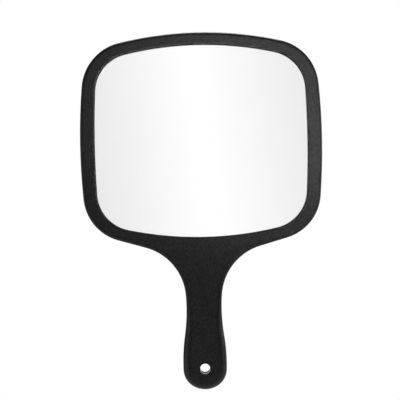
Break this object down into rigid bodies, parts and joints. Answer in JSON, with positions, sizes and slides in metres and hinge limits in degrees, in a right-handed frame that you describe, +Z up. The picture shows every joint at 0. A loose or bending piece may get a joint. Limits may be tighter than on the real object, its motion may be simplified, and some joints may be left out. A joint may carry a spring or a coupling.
{
  "type": "hand mirror",
  "caption": "Salon hand mirror: flat glass behind the lip of a wide rounded frame that flows into a slim handle with a hanging hole in its end.",
  "frame": {"origin": "on the axis of the hanging hole, half way through the thickness", "axes": "+X to the right of a user facing the glass, +Z up the handle to the head, +Y towards the back; the glass faces -Y"},
  "size_m": [0.1782, 0.011, 0.2634],
  "materials": {
    "frame_plastic": "black ABS with a fine spark-eroded grain",
    "cover_plastic": "black ABS with a fine spark-eroded grain",
    "glass": "polished float glass with ground edges",
    "silver": "silvered, seen through the glass",
    "backing_paint": "grey protective mirror paint",
    "foam": "closed-cell EVA foam",
    "tape": "black double-sided foam tape",
    "screw_steel": "black oxide steel"
  },
  "bodies": {
    "root": {"front_frame": "frame_plastic", "rear_cover": "cover_plastic", "mirror_glass": "glass", "mirror_silvering": "silver", "mirror_backing_paint": "backing_paint", "foam_cushion": "foam", "bezel_tape_top": "tape", "bezel_tape_right": "tape", "bezel_tape_left": "tape", "bezel_tape_bottom": "tape", "shoulder_screw_left": "screw_steel", "shoulder_screw_right": "screw_steel", "grip_screw_upper": "screw_steel", "grip_screw_lower": "screw_steel"}
  },
  "joints": []
}
